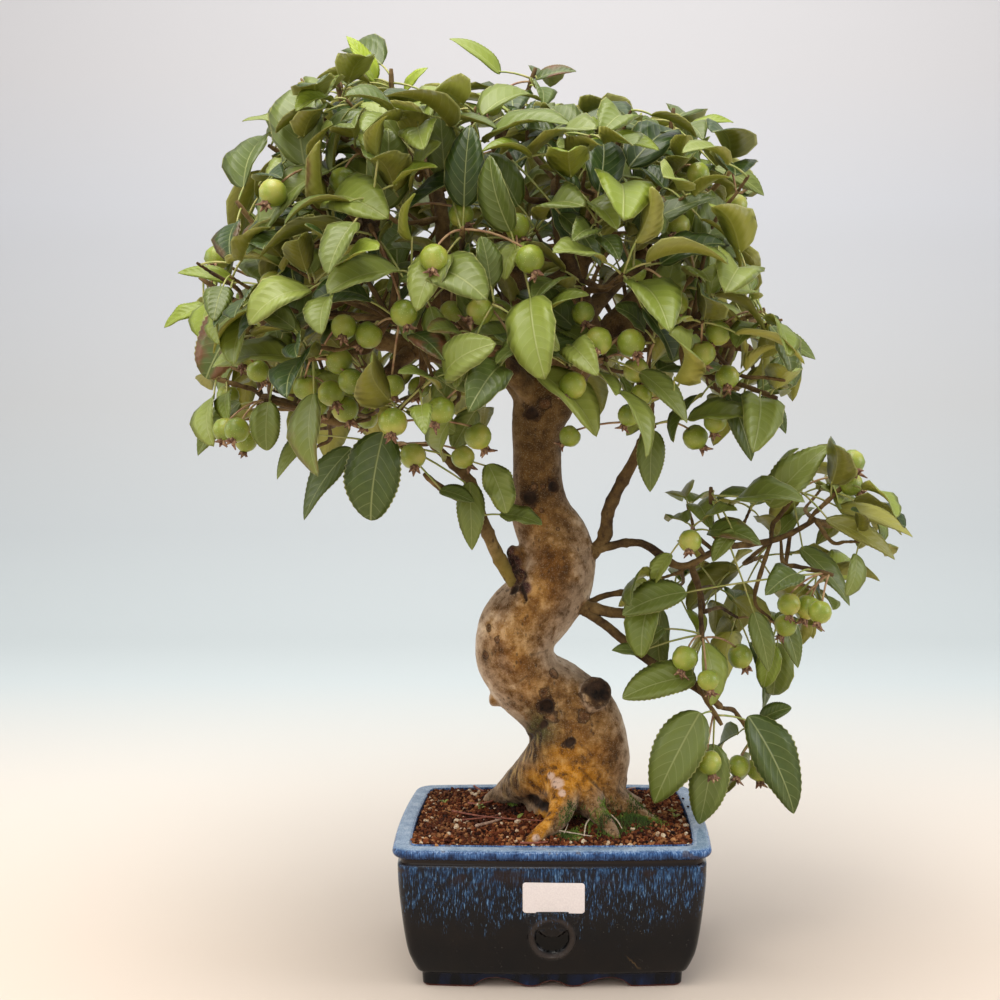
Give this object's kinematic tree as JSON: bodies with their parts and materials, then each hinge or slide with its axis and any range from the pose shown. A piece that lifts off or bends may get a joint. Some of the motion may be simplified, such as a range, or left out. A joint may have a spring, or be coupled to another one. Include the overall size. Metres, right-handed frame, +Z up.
{
  "type": "hall crabapple bonsai",
  "caption": "Fruiting crabapple bonsai with an S-shaped trunk, a round leafy crown and a low side branch, in a rectangular glazed pot with feet.",
  "frame": {"origin": "on the ground under the middle of the whole object; the pot's own centre is 9.5 mm towards +X of it", "axes": "+Z up along the trunk, -Y towards the pot's front with the label, +X to the viewer's right along the pot's long side"},
  "size_m": [0.5581, 0.3795, 0.687],
  "materials": {
    "pot_glaze": "gloss",
    "baked_clay_soil": "matte",
    "label_paper": "satin",
    "bark": "matte",
    "leaf_green": "satin"
  },
  "bodies": {
    "root": {"blank_label": "label_paper", "leafy_shoot_01": "leaf_green", "leafy_shoot_02": "leaf_green", "leafy_shoot_03": "leaf_green", "leafy_shoot_04": "leaf_green", "leafy_shoot_05": "leaf_green", "leafy_shoot_06": "leaf_green", "leafy_shoot_07": "leaf_green", "leafy_shoot_08": "leaf_green", "leafy_shoot_09": "leaf_green", "leafy_shoot_10": "leaf_green", "leafy_shoot_11": "leaf_green", "leafy_shoot_12": "leaf_green", "leafy_shoot_13": "leaf_green", "leafy_shoot_14": "leaf_green", "leafy_shoot_15": "leaf_green", "leafy_shoot_16": "leaf_green", "leafy_shoot_17": "leaf_green", "leafy_shoot_18": "leaf_green", "leafy_shoot_19": "leaf_green", "leafy_shoot_20": "leaf_green", "leafy_shoot_21": "leaf_green", "leafy_shoot_22": "leaf_green", "leafy_shoot_23": "leaf_green", "leafy_shoot_24": "leaf_green", "leafy_shoot_25": "leaf_green", "leafy_shoot_26": "leaf_green", "leafy_shoot_27": "leaf_green", "leafy_shoot_28": "leaf_green", "leafy_shoot_29": "leaf_green", "leafy_shoot_30": "leaf_green", "leafy_shoot_31": "leaf_green", "leafy_shoot_32": "leaf_green", "leafy_shoot_33": "leaf_green", "leafy_shoot_34": "leaf_green", "leafy_shoot_35": "leaf_green", "leafy_shoot_36": "leaf_green", "leafy_shoot_37": "leaf_green", "leafy_shoot_38": "leaf_green", "leafy_shoot_39": "leaf_green", "leafy_shoot_40": "leaf_green", "leafy_shoot_41": "leaf_green", "leafy_shoot_42": "leaf_green", "leafy_shoot_43": "leaf_green", "leafy_shoot_44": "leaf_green", "leafy_shoot_45": "leaf_green", "leafy_shoot_46": "leaf_green", "leafy_shoot_47": "leaf_green", "leafy_shoot_48": "leaf_green", "leafy_shoot_49": "leaf_green", "leafy_shoot_50": "leaf_green", "leafy_shoot_51": "leaf_green", "leafy_shoot_52": "leaf_green", "leafy_shoot_53": "leaf_green", "leafy_shoot_54": "leaf_green", "leafy_shoot_55": "leaf_green", "leafy_shoot_56": "leaf_green", "pot": "pot_glaze", "soil": "baked_clay_soil", "tree_wood": "bark"}
  },
  "joints": []
}
